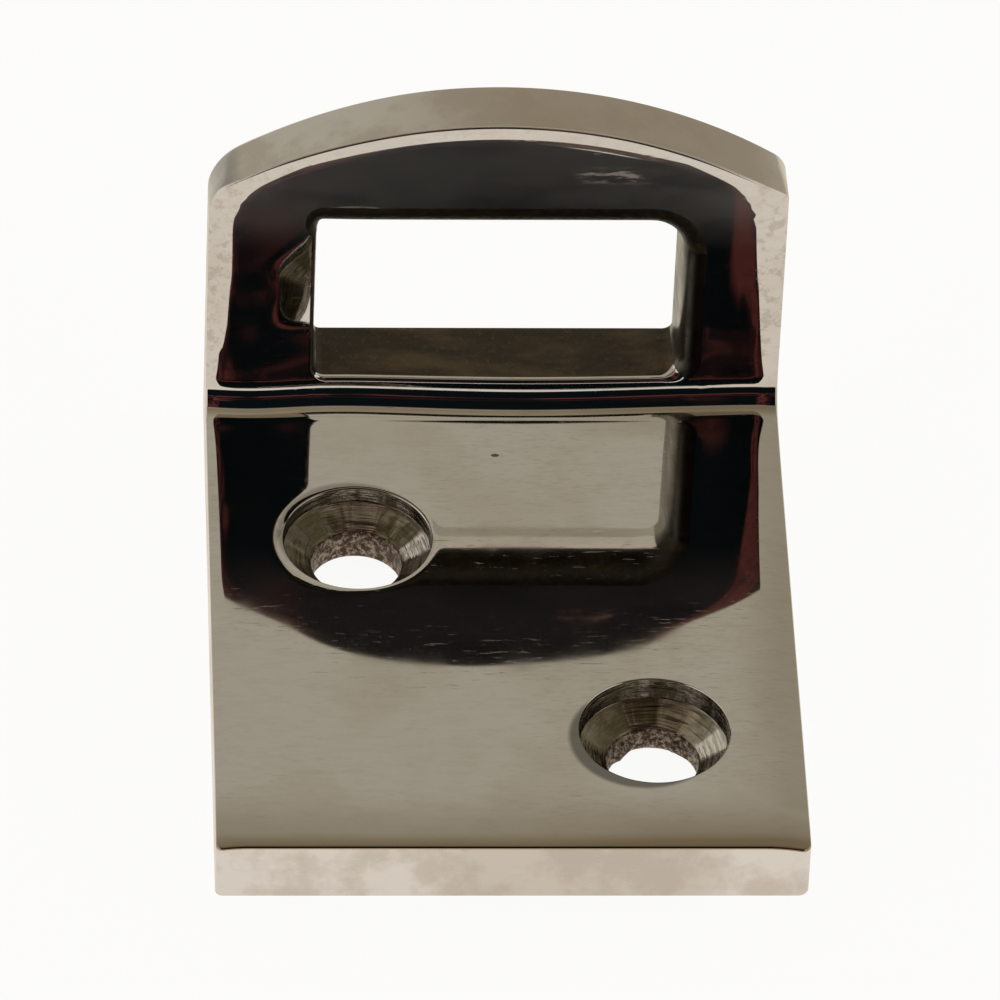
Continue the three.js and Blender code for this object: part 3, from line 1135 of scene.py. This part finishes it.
# Zones of the room in degrees. The sweep is 0 at the horizon in front and 90 overhead.
# A zone with four values starts, is full, begins to fade and ends at them.
DARK_SWEEP = (3, 5.5, 70, 77)
DARK_HALF_WIDTH = (38, 46)
WALL_SWEEP = (70, 77)
WALL_HALF_WIDTH = (50, 62)
WALL_TONE = (76, 128)
RED_CENTRE = 2.8
RED_BESIDE = (3.5, 7, 17, 24)
RED_BESIDE_FROM = (27, 32)
LEFT_OF_RED = (0, 3)
LEFT_RED_UP_TO = (43, 47)
RED_LOW = (26.5, 28, 30, 31.5)
RED_MIDDLE = (34, 36, 38, 39.5)
UPPER_LEFT_SWEEP = (46, 50)
UPPER_LEFT_SIDE = (-7, -3)


def make_camera():
    """Looks down on the base from the front, a little from the left."""
    flat = math.cos(CAMERA_ELEVATION)
    back = Vector((math.sin(CAMERA_AZIMUTH) * flat, -math.cos(CAMERA_AZIMUTH) * flat,
                   math.sin(CAMERA_ELEVATION)))
    level = Vector((math.cos(CAMERA_AZIMUTH), math.sin(CAMERA_AZIMUTH), 0))
    upright = back.cross(level)
    right = level * math.cos(CAMERA_ROLL) + upright * math.sin(CAMERA_ROLL)
    up = upright * math.cos(CAMERA_ROLL) - level * math.sin(CAMERA_ROLL)
    data = bpy.data.cameras.new("camera")
    data.lens, data.sensor_width = LENS, SENSOR
    data.clip_start, data.clip_end = 0.01, 50
    camera = add_object("camera", data)
    place = Matrix((right, up, back)).transposed().to_4x4()
    place.translation = CAMERA_TARGET + back * CAMERA_DISTANCE
    camera.matrix_world = place
    bpy.context.scene.camera = camera


def make_floor():
    """A plain pale floor, lit from within so that hardly any shadow falls on it, with a painted shadow
    behind the bracket that reflections see.
    """
    mesh = bpy.data.meshes.new("floor")
    half = FLOOR_HALF_SIZE
    corners = [(x, y, FLOOR_LEVEL) for x, y in ((-half, -half), (half, -half), (half, half), (-half, half))]
    mesh.from_pydata(corners, [], [(0, 1, 2, 3)])
    floor = add_object("floor", mesh)
    material = bpy.data.materials.new("pale_floor")
    material.use_nodes = True
    nodes = Nodes(material.node_tree)
    place = nodes.xyz(nodes.add("ShaderNodeTexCoord").outputs["Object"])
    seen = nodes.add("ShaderNodeLightPath").outputs["Is Camera Ray"]
    # painted shadow: behind the bracket the floor glows darker in reflections
    tone_with_painted_shadow = nodes.mix(nodes.step(place[1], *PAINTED_SHADOW_FROM), FLOOR_IN_FRONT, FLOOR_PAINTED_SHADOW)
    glow = nodes.fed("ShaderNodeEmission", nodes.mix(seen, tone_with_painted_shadow, FLOOR_SEEN))
    both = nodes.fed("ShaderNodeAddShader", nodes.fed("ShaderNodeBsdfDiffuse", PAPER), glow)
    nodes.link(both, nodes.add("ShaderNodeOutputMaterial").inputs["Surface"])
    mesh.materials.append(material)


def dull_red(nodes, direction, sweep, sideways):
    """How red the dark side is: either side of the middle, and in two low bands, all in patches."""
    off_centre = nodes.away(sideways, RED_CENTRE)
    beside = nodes.times(nodes.band(off_centre, *RED_BESIDE), nodes.step(sweep, *RED_BESIDE_FROM))
    # on the left that stops lower down, and a fainter red takes over further out
    high_left = nodes.times(nodes.step(sweep, *LEFT_RED_UP_TO), nodes.step(sideways, *LEFT_OF_RED, 1, 0))
    beside = nodes.times(beside, nodes.math("SUBTRACT", 1.0, high_left), 0.7)
    upper_left = nodes.times(nodes.step(sweep, *UPPER_LEFT_SWEEP),
                             nodes.step(sideways, *UPPER_LEFT_SIDE, 1, 0), 0.5)
    middle = nodes.times(nodes.band(sweep, *RED_MIDDLE), 0.35)
    below = nodes.times(nodes.highest(nodes.band(sweep, *RED_LOW), middle), 0.8)
    patches = nodes.step(nodes.noise(direction, 9.0, 3), 0.4, 0.53, 0.2, 1)
    return nodes.times(nodes.highest(beside, below, upper_left), patches)


def make_world():
    """A pale room with a warm grey wall behind and a blue-black camera side with dull red in it."""
    world = bpy.data.worlds.new("studio")
    bpy.context.scene.world = world
    world.use_nodes = True
    nodes = Nodes(world.node_tree)
    direction = nodes.add("ShaderNodeTexCoord").outputs["Generated"]
    x, y, z = nodes.xyz(direction)
    degrees = 180 / math.pi
    sweep = nodes.times(nodes.math("ARCTAN2", z, nodes.times(y, -1.0)), degrees)
    sideways = nodes.times(nodes.math("ARCSINE", x), degrees)
    aside = nodes.math("ABSOLUTE", sideways)
    dark = nodes.times(nodes.band(sweep, *DARK_SWEEP), nodes.step(aside, *DARK_HALF_WIDTH, 1, 0))
    behind = nodes.times(nodes.step(sweep, *WALL_SWEEP), nodes.step(aside, *WALL_HALF_WIDTH, 1, 0))
    wall = nodes.mix(nodes.step(sweep, *WALL_TONE), WALL_HIGH, WALL_LOW)
    red = dull_red(nodes, direction, sweep, sideways)
    dark_side = nodes.mix(red, BLUE_BLACK, DULL_RED)
    room = nodes.mix(dark, nodes.mix(behind, PALE_ROOM, wall), dark_side)
    seen = nodes.add("ShaderNodeLightPath").outputs["Is Camera Ray"]
    background = nodes.fed("ShaderNodeBackground", nodes.mix(seen, room, ROOM_SEEN))
    nodes.link(background, nodes.add("ShaderNodeOutputWorld").inputs["Surface"])


bpy.context.scene.view_settings.view_transform = "Standard"
make_camera()
make_floor()
make_world()

bracket = casting_object("bracket")
FINISHES = (buffed_steel, linished_steel, machined_steel, cast_steel, ground_steel, scale_steel,
            satin_steel)
for make_material in FINISHES:
    bracket.data.materials.append(make_material())
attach(bracket, "root")
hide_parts("bracket_casting")
